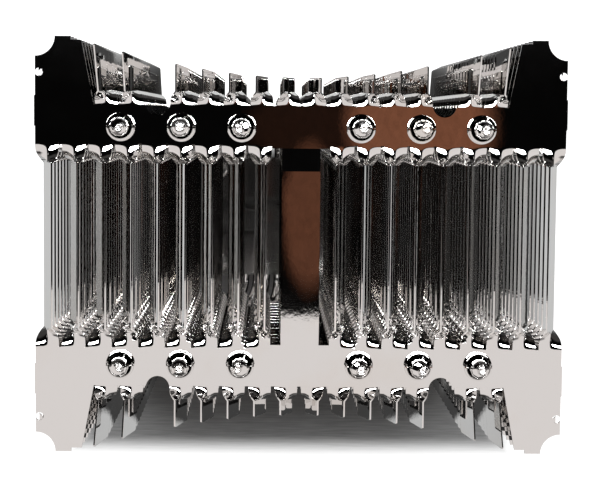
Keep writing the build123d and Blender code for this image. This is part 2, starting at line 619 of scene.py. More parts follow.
@dataclass(frozen=True)
class ShearedFinish(Finish):
    """Sheared edge of the sheet: bright and pitted, with torn grain, and burrs with painted glints on the
    top fin.

    Attributes:
        pit_range: Noise between which a pit fades out.
        burr_glint: Colour of the burrs, pale and dull, a painted glint that stays bright from every side
            where metal would only mirror.
        burr_size: Radius of a burr, as a share of their spacing.
        burr_height: Height above which the edges belong to the top fin.
    """

    colour: Colour = (0.7, 0.7, 0.7, 1)
    pit: Colour = (0.4, 0.4, 0.41, 1)
    pit_range: Pair = (0.35, 0.55)
    roughness: float = 0.12
    burr_glint: Colour = (0.8, 0.79, 0.78, 1)
    burr_scale: float = 800.0
    burr_size: float = 0.34
    burr_height: float = 0.147
    grain: float = 1100.0
    grain_height: float = 0.0004

    def surface(self, recipe: Recipe, place: Socket) -> Socket:
        """Adds the edge with its pits and grain, and the burrs with their painted glints.

        Args:
            recipe: The material's nodes.
            place: Object coordinates.

        Returns:
            The shader.
        """
        grain = recipe.noise(place, self.grain, 3)
        tone = recipe.blend(recipe.ramp(grain, *self.pit_range), self.pit, self.colour)
        cells = recipe.add("ShaderNodeTexVoronoi", vector=place, scale=self.burr_scale).outputs
        height = recipe.add("ShaderNodeSeparateXYZ", vector=place).outputs[2]
        top = recipe.math("GREATER_THAN", height, self.burr_height)
        # Painted glints: on the top fin the burrs are pale dull specks, bright from every side.
        burr_glint = recipe.times(recipe.math("LESS_THAN", cells["Distance"], self.burr_size), top)
        torn = recipe.bump(grain, self.grain_height, top)
        tone = recipe.blend(burr_glint, tone, self.burr_glint)
        return recipe.metal(tone, self.roughness, torn, recipe.minus(1.0, burr_glint))


@dataclass(frozen=True)
class SteelFinish(Finish):
    """Plated steel of the screw heads, with fine turning marks."""

    colour: Colour = (0.56, 0.55, 0.54, 1)
    light: Colour = (0.68, 0.67, 0.66, 1)
    roughness: float = 0.25
    mark_scale: float = 1800.0
    mark_height: float = 0.00001

    def surface(self, recipe: Recipe, place: Socket) -> Socket:
        """Adds the steel and its marks.

        Args:
            recipe: The material's nodes.
            place: Object coordinates.

        Returns:
            The shader.
        """
        marks = recipe.noise(place, self.mark_scale, 4)
        tone = recipe.blend(marks, self.colour, self.light)
        return recipe.metal(tone, self.roughness, recipe.bump(marks, self.mark_height))


@dataclass(frozen=True)
class FloorFinish(Finish):
    """Plain pale table that clips to white for the camera, with a painted shadow round the cooler and
    painted reflections for the metal.

    Attributes:
        colour: Colour for the light that bounces off it.
        seen: Darker colour that the camera sees in a box round the cooler, a painted shadow over the cast
            one, with the brush marks.
        seen_light: Lighter colour of that painted shadow, between the brush marks.
        mirrored: Colour of the pale parts that the metal mirrors, a painted reflection of the lit table.
        shade: Colour of the dark parts that the metal mirrors, painted shade under and beside the cooler.
        side: X beyond which the metal mirrors a pale table.
        side_ahead: Y from which that pale side begins.
        side_behind: Y at which it ends.
        corner_ahead: Y before which the table is pale again, far to the side.
        back: Y behind which it is pale in the middle.
        middle: X at which the middle ends.
        shadow_y: Y of the middle of the box of painted shadow, which holds the cast shadow.
        shadow_size: Half of its size in X and Y.
        shadow_soft: Share of that size at which the lift to white starts, and at which it is full.
        streak: Stretch of the brush marks.
    """

    name: str = "pale_table"
    colour: Colour = (0.82, 0.82, 0.81, 1)
    seen: Colour = (0.2, 0.203, 0.204, 1)
    seen_light: Colour = (0.42, 0.423, 0.424, 1)
    mirrored: Colour = (0.52, 0.525, 0.525, 1)
    shade: Colour = (0.05, 0.05, 0.05, 1)
    side: Pair = (0.15, 0.195)
    side_ahead: Pair = (-0.09, -0.07)
    side_behind: Pair = (0.032, 0.04)
    corner_ahead: Pair = (-0.111, -0.106)
    back: Pair = (0.05, 0.07)
    middle: Pair = (0.2, 0.25)
    shadow_y: float = -0.03
    shadow_size: Pair = (0.078, 0.0555)
    shadow_soft: Pair = (0.88, 1.05)
    streak: Triple = (0.06, 1.0, 1.0)
    brush: float = 1600.0

    def surface(self, recipe: Recipe, place: Socket) -> Socket:
        """Adds the table as the camera, the metal and the light see it, with its painted shadow and painted
        reflections.

        Args:
            recipe: The material's nodes.
            place: Object coordinates.

        Returns:
            The shader.
        """
        rays = recipe.add("ShaderNodeLightPath").outputs
        x, y, _ = recipe.add("ShaderNodeSeparateXYZ", vector=place).outputs
        side = recipe.math("ABSOLUTE", x)
        # Painted reflections: the metal sees the table pale at the sides, behind and far ahead, and painted
        # dark under and beside the cooler for the shade there.
        sides = recipe.times(recipe.ramp(side, *self.side), recipe.ramp(y, *self.side_ahead))
        sides = recipe.times(sides, recipe.fall(y, *self.side_behind))
        behind = recipe.times(recipe.ramp(y, *self.back), recipe.fall(side, *self.middle))
        ahead = recipe.times(recipe.fall(y, *self.corner_ahead), recipe.ramp(side, *self.middle))
        mirrored = recipe.blend(recipe.most(sides, behind, ahead), self.shade, self.mirrored)
        tone = recipe.blend(rays["Is Glossy Ray"], self.colour, mirrored)
        marks = recipe.noise(recipe.vector("MULTIPLY", place, self.streak), self.brush, 3)
        # Painted shadow: the camera sees the table darker than its colour, and only outside the box round
        # the cooler does the lift bring it to white.
        tone = recipe.blend(rays["Is Camera Ray"], tone, recipe.blend(marks, self.seen, self.seen_light))
        across = recipe.math("DIVIDE", side, self.shadow_size[0])
        depth = recipe.math("ABSOLUTE", recipe.minus(y, self.shadow_y))
        reach = recipe.most(across, recipe.math("DIVIDE", depth, self.shadow_size[1]))
        lift = recipe.times(rays["Is Camera Ray"], recipe.ramp(reach, *self.shadow_soft))
        table = recipe.add("ShaderNodeBsdfDiffuse", color=tone).outputs[0]
        light = recipe.add("ShaderNodeEmission", strength=lift).outputs[0]
        return recipe.add("ShaderNodeAddShader", i0=table, i1=light).outputs[0]


@dataclass(frozen=True)
class CardFinish(Finish):
    """Dim brown patches that glow on a card that is otherwise clear, a painted reflection that only the
    metal sees.

    Attributes:
        height: Height of the card, in millimetres.
        patches: Centre in X and Y, half widths in X and Y, and strength of each patch, in millimetres.
        soft: Width of a patch's soft edge, as a share of its half width.
        hairs: Stretch of the painted streaks of light in the glow.
        hair_light: Lowest light of those streaks, and what the noise adds.
    """

    name: str = "brown_card"
    colour: Colour = (0.19, 0.072, 0.038, 1)
    height: float = 594.0
    patches: tuple[tuple[float, ...], ...] = (
        (71, 30, 37, 40, 1.0),
        (13, -18, 14, 38, 0.55),
        (9, 29, 30, 16, 0.07),
    )
    soft: float = 0.25
    hairs: Triple = (1.0, 0.25, 1.0)
    hair_scale: float = 900.0
    hair_light: Pair = (0.55, 0.9)

    def surface(self, recipe: Recipe, place: Socket) -> Socket:
        """Adds the glowing patches of painted reflection.

        Args:
            recipe: The material's nodes.
            place: Object coordinates.

        Returns:
            The shader.
        """
        low, more = self.hair_light
        # Painted streaks: the glow is lighter and darker in fine stretched lines, which the metal mirrors.
        hairs = recipe.noise(recipe.vector("MULTIPLY", place, self.hairs), self.hair_scale, 4)
        grain = recipe.math("ADD", low, recipe.times(hairs, more))
        patches = []
        for x, y, wide, deep, strength in self.patches:
            off = recipe.vector("SUBTRACT", place, (x * METRES, y * METRES, self.height * METRES))
            share = recipe.vector("DIVIDE", off, (wide * METRES, deep * METRES, 1.0))
            inside = recipe.fall(recipe.vector("LENGTH", share), 1 - self.soft, 1 + self.soft)
            patches.append(recipe.times(inside, strength))
        light = recipe.times(recipe.most(*patches), grain)
        glow = recipe.add("ShaderNodeEmission", color=self.colour, strength=light)
        open_part = recipe.add("ShaderNodeBsdfTransparent").outputs[0]
        return recipe.add("ShaderNodeAddShader", i0=glow.outputs[0], i1=open_part).outputs[0]


@dataclass
class Palette:
    """All finishes of the cooler, built once."""

    sheet: Look = NickelFinish("nickel_sheet").later()
    edge: Look = ShearedFinish("sheared_edge").later()
    tube: Look = NickelFinish("nickel_tube", wave_height=0.00002, dust=0.0).later()
    block: Look = NickelFinish("nickel_block", rough=(0.08, 0.16), dust=0.0).later()
    steel: Look = SteelFinish("screw_steel").later()


@dataclass
class Piece:
    """A finished object, with the node it stands for and its material slot of the record."""

    shape: Thing
    node: str
    slot: Slot

    def install(self) -> None:
        """Hands the piece to the frame."""
        clear()
        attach(self.shape, "root")
        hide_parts(self.node)
        LOG.info("%s stands for %s, %d faces", self.shape.name, self.node, len(self.shape.data.polygons))


@dataclass
class FinStack:
    """The stamped fins: one sheet modelled as a quarter, mirrored, and copied up the tower.

    Attributes:
        sheet: Thickness of the sheet.
        band_inner: Y where the louvres leave the band.
        band_outer: Y where the tabs leave the band.
        corner_cut: X, Y and radius of the punch at a corner; so for the notches.
        louvre_shift: How far a blade lies beside the middle line of its root.
        tab_tip: Y of the tip of a tab at X 0; the tips follow a parabola.
        tab_arc: Divides X squared in that parabola.
        tab_leans: Slant of each tab, outwards for each step along Y.
        neck_rest: Share of a neck that stays flat at its root.
        ease_in: Share of a neck over which it starts to turn.
        ease_out: Share over which it stops.
        inner_delay: Power of the share by which a neck's inner half turns.
        sharp_angle: Angle from which an edge is rounded.
        smooth_angle: Angle up to which faces are shaded smooth.
        lip_round: Rounding of a collar's lip, as a share of its half width.
    """

    half_length: float = 70.0
    half_depth: float = 55.0
    sheet: float = 0.5
    band_inner: float = 27.0
    band_outer: float = 37.2
    bridge_half: float = 5.05
    slot_outer: float = 7.9
    slot_y: float = 26.1
    ramp_length: float = 6.0
    bridge_rise: float = 1.5
    ear_root_x: float = 54.6
    ear_tip_x: float = 57.8
    ear_step_x: float = 60.6
    ear_step: float = 1.0
    side_bump: float = 0.25
    bump_low: float = 31.5
    bump_high: float = 39.5
    corner_cut: Triple = (70.0, 55.0, 5.2)
    clip_notch: Triple = (69.0, 45.6, 1.06)
    side_notch: Triple = (37.7, 37.75, 3.15)
    pipe_hole_radius: float = 3.05
    punch_length: float = 6.0
    punch_sides: int = 64
    louvre_count: int = 9
    louvre_pitch: float = 7.0
    louvre_width: float = 6.2
    louvre_tilt: float = 65.0
    louvre_neck: float = 5.2
    louvre_shift: float = 0.25
    tab_width: float = 6.0
    tab_tilt: float = 60.0
    tab_neck: float = 3.6
    tab_tip: float = 44.65
    tab_arc: float = 349.0
    tab_corner: float = 0.5
    tab_corner_steps: int = 4
    tab_xs: tuple[float, ...] = (3.5, 10.5, 17.5, 24.5, 31.5, 44.4, 51.2)
    tab_leans: tuple[float, ...] = (0, 0, 0, 0, 0, 0.11, 0.155)
    neck_rest: float = 0.04
    ease_in: float = 0.4
    ease_out: float = 0.05
    inner_delay: float = 2.2
    neck_rows: int = 24
    strip_columns: int = 6
    edge_round: float = 0.07
    edge_steps: int = 2
    sharp_angle: float = 60.0
    smooth_angle: float = 35.0
    collar_inner: float = 3.05
    collar_outer: float = 3.67
    collar_height: float = 2.5
    collar_flare: float = 0.18
    collar_sides: int = 48
    lip_round: float = 0.3
    split_angles: tuple[float, ...] = (0, 65, 180)
    split_width: float = 0.22
    split_depth: float = 0.9

    def twist(self, share: float) -> float:
        """How far the outer half of a neck has turned, from 0 to 1, at a share of its length.

        It lies flat at its root, turns evenly after a short ease in, and eases out at the blade.

        Args:
            share: Share of the neck's length, from its root.

        Returns:
            The share of the full turn.
        """
        way = max(share - self.neck_rest, 0)
        full = 1 - self.neck_rest - (self.ease_in + self.ease_out) / 2
        if way < self.ease_in:
            return way**2 / (2 * self.ease_in) / full
        left = 1 - share
        if left < self.ease_out:
            return 1 - left**2 / (2 * self.ease_out) / full
        return (way - self.ease_in / 2) / full

    def plate(self) -> Thing:
        """The flat bands, the ears and the raised bridge, with every hole and notch.

        Returns:
            The plate.
        """
        band = plane("fin_plate", (0, self.band_inner), (self.half_length, self.band_outer))
        edit(band)
        for x in (self.bridge_half, self.slot_outer, self.ear_root_x):
            take_all()
            cut((x, 0, 0), (1, 0, 0))
        take(lambda p: p.y < self.band_inner + NEAR and p.x < self.slot_outer + NEAR)
        pull(y=self.slot_y - self.band_inner)
        take(lambda p: p.y < self.slot_y + NEAR and p.x < self.bridge_half + NEAR)
        pull(y=-self.ramp_length, z=self.bridge_rise)
        pull(y=self.ramp_length - self.slot_y)
        ear_end = self.half_depth - self.ear_step
        take(lambda p: p.y > self.band_outer - NEAR and p.x > self.ear_root_x - NEAR)
        pull(y=ear_end - self.band_outer)
        take(lambda p: p.y > ear_end - NEAR and p.x < self.ear_root_x + NEAR)
        move(x=self.ear_tip_x - self.ear_root_x)
        take(lambda p: p.y > self.band_outer - NEAR and p.x > self.ear_root_x - NEAR)
        cut((self.ear_step_x, 0, 0), (1, 0, 0))
        take(lambda p: p.y > ear_end - NEAR and p.x > self.ear_step_x - NEAR)
        pull(y=self.ear_step)
        for y in (self.bump_low, self.bump_high):
            take_all()
            cut((0, y, 0), (0, 1, 0))
        take(lambda p: p.x > self.half_length - NEAR and self.bump_low - NEAR < p.y < self.bump_high + NEAR)
        pull(x=self.side_bump)
        tidy(band)
        mirror(band, x=True, y=True)
        self.crease_folds(band)
        thicken(band, self.sheet)
        carve(band, self.punches())
        return band

    def crease_folds(self, band: Thing) -> None:
        """Keeps the four fold lines of the bridge crisp.

        Args:
            band: The sheet, still without thickness.
        """
        folds = (self.slot_y, self.slot_y - self.ramp_length)

        def fold(edge: bmesh.types.BMEdge) -> bool:
            """Tells whether an edge is a part of a fold line.

            Args:
                edge: The edge.

            Returns:
                True if it is.
            """
            ends = [v.co for v in edge.verts]
            within = all(abs(p.x) < self.bridge_half + NEAR for p in ends)
            return within and any(all(abs(abs(p.y) - y) < NEAR for p in ends) for y in folds)

        take_edges(band, fold)
        bpy.ops.mesh.mark_sharp()
        clear()

    def punches(self) -> list[Thing]:
        """The round punches that leave the pipe holes, the notches and the cut corners.

        Returns:
            The punches.
        """
        spots = [(x, PIPE_ROW_Y, self.pipe_hole_radius) for x in PIPE_XS]
        spots += [self.corner_cut, self.clip_notch, self.side_notch]
        punches = []
        for x, y, radius in spots:
            for sx, sy in QUARTERS:
                centre = (sx * x, sy * y, 0)
                punches.append(rod("punch", radius, self.punch_length, centre, self.punch_sides))
        for punch in punches:
            paint(punch, None, None)
            for face in punch.data.polygons:
                face.material_index = 1
        return punches

    def neck(self, name: str, x: float, root: float, length: float, width: float) -> Thing:
        """Flat grid of one neck, from its root along Y; a negative length runs towards the middle.

        Args:
            name: Name of the piece.
            x: X of its middle.
            root: Y of its root.
            length: Its length.
            width: Its width.

        Returns:
            The grid.
        """
        clear()
        bpy.ops.mesh.primitive_grid_add(
            x_subdivisions=self.strip_columns,
            y_subdivisions=self.neck_rows,
            size=1,
            location=(x, root + length / 2, 0),
        )
        return settle(name, (width, abs(length), 1))

    def twist_rows(self, x: float, lean: float, root: float, length: float, tilt: float) -> None:
        """Turns the rows of the piece in edit mode about its own middle line, row by row.

        Args:
            x: X of the middle of the root.
            lean: Slant of its middle line, outwards for each step along Y.
            root: Y of the root.
            length: Length of the neck.
            tilt: Turn of the blade.
        """
        step = length / self.neck_rows
        for row in range(1, self.neck_rows + 1):
            y = root + row * step
            centre = (x + lean * abs(y - root), y, 0)
            share = row / self.neck_rows
            turned = self.twist(share)

            def in_row(p: Vector) -> bool:
                """Tells whether a point is in the row. The last row holds the blade too."""
                return abs(p.y - y) < abs(step) / 4 or (share == 1 and (p.y - y) * step > 0)

            take(in_row)
            turn(tilt * turned, "Y", centre)
            if share < 1:
                take(lambda p: in_row(p) and p.x < centre[0] - NEAR)
                turn(tilt * (share**self.inner_delay - turned), "Y", centre)
                take(in_row)
            if length < 0:
                move(x=-self.louvre_shift * turned)

    def louvres(self) -> Thing:
        """The louvres: one half drawn and twisted, then repeated and mirrored.

        Returns:
            The louvres, still without thickness.
        """
        first_x = self.half_length - self.louvre_width / 2 - (self.louvre_count - 1) * self.louvre_pitch
        half = self.neck("louvres", first_x, self.band_inner, -self.louvre_neck, self.louvre_width)
        edit(half)
        blade_y = self.band_inner - self.louvre_neck
        take(lambda p: p.y < blade_y + NEAR)
        pull(y=-blade_y)
        self.twist_rows(first_x, 0, self.band_inner, -self.louvre_neck, -self.louvre_tilt)
        tidy(half)
        modify(
            half,
            "ARRAY",
            count=self.louvre_count,
            use_relative_offset=False,
            use_constant_offset=True,
            constant_offset_displace=(self.louvre_pitch, 0, 0),
        )
        mirror(half, x=True, y=True)
        return half

    def tab(self, x: float, lean: float) -> Thing:
        """One tab of the quarter, drawn flat with its slanted tip and then twisted.

        Args:
            x: X of the middle of its root.
            lean: Slant of its middle line, outwards for each step along Y.

        Returns:
            The tab, still without thickness.
        """
        piece = self.neck("tab", x, self.band_outer, self.tab_neck, self.tab_width)
        neck_y = self.band_outer + self.tab_neck
        tip_y = self.tab_tip + x * x / self.tab_arc
        edit(piece)
        take(lambda p: p.y > neck_y - NEAR)
        pull(y=tip_y - neck_y)
        for column in range(self.strip_columns + 1):
            column_x = x + self.tab_width * (column / self.strip_columns - 0.5)
            take(lambda p: p.y > tip_y - NEAR and abs(p.x - column_x) < NEAR)
            move(y=self.tab_tip + column_x**2 / self.tab_arc - tip_y)
        take(lambda p: p.y > neck_y + NEAR and abs(abs(p.x - x) - self.tab_width / 2) < NEAR)
        bpy.ops.mesh.bevel(offset=self.tab_corner, segments=self.tab_corner_steps, affect="VERTICES")
        if lean:
            self.lean_rows(piece, lean)
        self.twist_rows(x, lean, self.band_outer, self.tab_neck, self.tab_tilt)
        tidy(piece)
        return piece

    def lean_rows(self, piece: Thing, lean: float) -> None:
        """Slants a flat tab outwards, row by row. Vertices at the same micrometre are one row.

        Args:
            piece: The tab, in edit mode.
            lean: Slant of its middle line, outwards for each step along Y.
        """
        sheet = bmesh.from_edit_mesh(piece.data)
        digits = 3
        rows = sorted({round(v.co.y, digits) for v in sheet.verts if v.co.y > self.band_outer + NEAR})
        for y in rows:
            take(lambda p: abs(p.y - y) < 10**-digits)
            move(x=lean * (y - self.band_outer))

    def tabs(self) -> Thing:
        """All tabs, joined and mirrored.

        Returns:
            The tabs, still without thickness.
        """
        joined = join([self.tab(x, lean) for x, lean in zip(self.tab_xs, self.tab_leans)])
        mirror(joined, x=True, y=True)
        return joined

    def round_edges(self, strips: Thing) -> None:
        """Rounds the sheared edges of the louvres and tabs, apart from those at their roots.

        Args:
            strips: The louvres and tabs.
        """
        roots = (self.band_inner, self.band_outer)

        def sheared(edge: bmesh.types.BMEdge) -> bool:
            """Tells whether an edge is sharp and lies away from the roots.

            Args:
                edge: The edge.

            Returns:
                True if it does.
            """
            sharp = len(edge.link_faces) == 2 and edge.calc_face_angle() > math.radians(self.sharp_angle)
            ends = [abs(v.co.y) for v in edge.verts]
            return sharp and not any(all(abs(y - root) < NEAR for y in ends) for root in roots)

        take_edges(strips, sheared)
        bpy.ops.mesh.bevel(offset=self.edge_round, segments=self.edge_steps, affect="EDGES")
        clear()

    def collar(self) -> Thing:
        """One pulled collar with a rounded lip, split where the sheet tore.

        Returns:
            The collar, about the origin.
        """
        inner, outer, flare = self.collar_inner, self.collar_outer, self.collar_flare
        foot = self.sheet / 2
        top = self.collar_height + foot
        lip = (outer - inner) / 2
        eased = lip * self.lip_round
        outline = [
            (inner, -foot),
            (outer + flare, -foot),
            (outer + flare, foot),
            (outer + flare / 3, foot + flare / 6),
            (outer, foot + flare),
            (outer, top - lip),
            (outer - eased, top - eased),
            (outer - lip, top),
            (inner + eased, top - eased),
            (inner, top - lip),
            (inner, -foot),
        ]
        ring = lathe("collar", outline, self.collar_sides, closed=True)
        slits = []
        for angle in self.split_angles:
            half = self.split_width / 2
            slit = block("slit", (inner - 1, -half, top - self.split_depth), (outer + 1, half, top + 1))
            edit(slit)
            take_all()
            turn(-angle, "Z", (0, 0, 0))
            slits.append(slit)
        carve(ring, slits)
        return ring

    def sheet_fin(self, palette: Palette) -> Thing:
        """One whole fin about the origin, in millimetres.

        Args:
            palette: The finishes.

        Returns:
            The fin.
        """
        plate = self.plate()
        strips = join([self.louvres(), self.tabs()])
        thicken(strips, self.sheet)
        self.round_edges(strips)
        collar = self.collar()
        parts = [plate, strips]
        for x in PIPE_XS:
            for sx, sy in QUARTERS:
                parts.append(copy(collar, "ring", sx * x, sy * PIPE_ROW_Y))
        bpy.data.objects.remove(collar)
        for part in parts:
            paint(part, palette.sheet, palette.edge)
        fin = join(parts)
        soften(fin, self.smooth_angle)
        return fin

    def build(self, palette: Palette) -> list[Piece]:
        """Builds the fins at the heights of their nodes.

        Args:
            palette: The finishes.

        Returns:
            One piece for each fin, the lowest first.
        """
        master = self.sheet_fin(palette)
        to_metres(master)
        pieces = []
        for node in [name for name in cad_nodes() if name.startswith("fin_")]:
            twin = copy(master, f"{node}_sheet", z=plate_middle(node))
            pieces.append(Piece(twin, node, Slot.FIN))
        bpy.data.objects.remove(master)
        return pieces


@dataclass
class HeatPipes:
    """Six tubes, each drawn from its sealed tip down to the middle of the base, and mirrored.

    Attributes:
        fan_z: Height where the legs bend outwards.
        tip_outline: (radius, height over the tip's top) of the rings of the sealed tip.
        nipple_rings: How many of those rings belong to the squeezed nipple.
        nipple_shifts: How far each tube's nipple stands off its middle line.
        nipple_turns: To which side.
        nipple_squash: Its width along that side, as a share.
        shoulder_end: Index of the first ring below the crimped shoulder.
        crimp_count: Marks round the shoulder.
        crimp_depth: Depth of a mark, as a share of the radius.
        crimp_pinch: How much of that depth the mark narrows the ring.
    """

    fan_z: float = 42.0
    knee_radius: float = 15.0
    foot_radius: float = 10.0
    knee_steps: int = 8
    foot_steps: int = 16
    sides: int = 40
    smooth_angle: float = 50.0
    tip_outline: tuple[Pair, ...] = (
        (0.16, -0.62), (0.4, -0.5), (0.62, -0.2), (0.82, -0.03), (1.02, 0.0), (1.24, -0.12),
        (1.36, -0.42), (1.36, -0.85), (1.42, -1.15), (1.58, -1.42), (1.84, -1.66), (2.12, -1.88),
        (2.38, -2.2), (2.52, -2.7), (2.58, -3.6), (2.64, -5.2), (2.8, -5.8), (3.0, -6.2),
    )
    nipple_rings: int = 9
    nipple_shifts: tuple[float, ...] = (0.55, 0.1, 0.25, 0.45, 0.7, 0.35)
    nipple_turns: tuple[float, ...] = (200, 90, 310, 30, 20, 340)
    nipple_squash: tuple[float, ...] = (0.8, 0.92, 0.75, 1.0, 0.85, 0.9)
    shoulder_end: int = -3
    crimp_count: int = 10
    crimp_depth: float = 0.025
    crimp_pinch: float = 1.6

    def tip(self, number: int, top: float) -> Thing:
        """The crimped tip, open below, left in edit mode with its nipple selected.

        Args:
            number: Number of the node.
            top: Height of the tip.

        Returns:
            The tip.
        """
        outline = [(radius, top + drop) for radius, drop in self.tip_outline]
        piece = lathe(f"heat_pipe_{number}_tube", outline, self.sides, closed=False)
        for radius, drop in self.tip_outline[self.nipple_rings : self.shoulder_end]:
            self.crimp(radius, top + drop)
        angle = self.nipple_turns[number - 1]
        side = Vector((math.cos(math.radians(angle)), math.sin(math.radians(angle)), 0))
        neck = top + self.tip_outline[self.nipple_rings][1]
        take(lambda p: p.z > neck - NEAR)
        turn(angle, "Z", (0, 0, 0))
        scale(1, (0, 0, top), x=self.nipple_squash[number - 1])
        turn(-angle, "Z", (0, 0, 0))
        move(*(side * self.nipple_shifts[number - 1]))
        return piece

    def crimp(self, radius: float, height: float) -> None:
        """Presses the marks of the closing jaws into one ring of the shoulder.

        Args:
            radius: Radius of the ring.
            height: Its height.
        """
        half = math.pi / self.crimp_count

        def pressed(point: Vector) -> bool:
            """Tells whether a point of the ring lies under a jaw."""
            angle = math.atan2(point.y, point.x) % (2 * half)
            return abs(point.z - height) < NEAR and abs(angle - half) < half / 2

        take(pressed)
        scale(1 - self.crimp_depth * self.crimp_pinch, (0, 0, height - radius * self.crimp_depth))

    def build_one(self, number: int, fin_x: float, base_x: float, top: float) -> Thing:
        """One tube in millimetres.

        Args:
            number: Number of the node.
            fin_x: X of its legs in the fins.
            base_x: X of its run through the base.
            top: Height of its tips.

        Returns:
            The tube, from tip to tip.
        """
        piece = self.tip(number, top)
        take_all()
        move(x=fin_x, y=PIPE_ROW_Y)
        bottom = top + self.tip_outline[-1][1]
        take(lambda p: p.z < bottom + NEAR)
        bpy.ops.mesh.select_mode(type="EDGE")
        down = Vector((0, 0, -1))
        fan = Vector((base_x - fin_x, 0, BASE_Z - self.fan_z))
        inward = Vector((math.copysign(1, base_x - fin_x), 0, 0))
        knee = math.degrees(down.angle(fan))
        knee_tangent = self.knee_radius * math.tan(math.radians(knee / 2))
        pull(z=self.fan_z + knee_tangent - bottom)
        centre = Vector((fin_x, PIPE_ROW_Y, self.fan_z + knee_tangent)) + inward * self.knee_radius
        bend(knee, centre, down.cross(inward), self.knee_steps)
        run = fan.normalized() * (fan.length - knee_tangent - self.foot_radius)
        pull(*run)
        foot = Vector((base_x, PIPE_ROW_Y, BASE_Z)) - fan.normalized() * self.foot_radius
        back = Vector((0, -1, 0))
        bend(90, foot + back * self.foot_radius, fan.normalized().cross(back), self.foot_steps)
        pull(y=self.foot_radius - PIPE_ROW_Y)
        tidy(piece)
        mirror(piece, x=False, y=True)
        tidy(piece)
        return piece

    def build(self, palette: Palette) -> list[Piece]:
        """Builds the six tubes, one piece each.

        Args:
            palette: The finishes.

        Returns:
            One piece for each tube.
        """
        legs = [(sx * x, sx * (k + 0.5) * BASE_PITCH) for sx in (-1, 1) for k, x in enumerate(PIPE_XS)]
        pieces = []
        for number, (fin_x, base_x) in enumerate(legs, 1):
            node = f"heat_pipe_{number}"
            tube = self.build_one(number, fin_x, base_x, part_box(node)[1].z / METRES)
            paint(tube, palette.tube)
            soften(tube, self.smooth_angle)
            to_metres(tube)
            pieces.append(Piece(tube, node, Slot.PIPE))
        return pieces


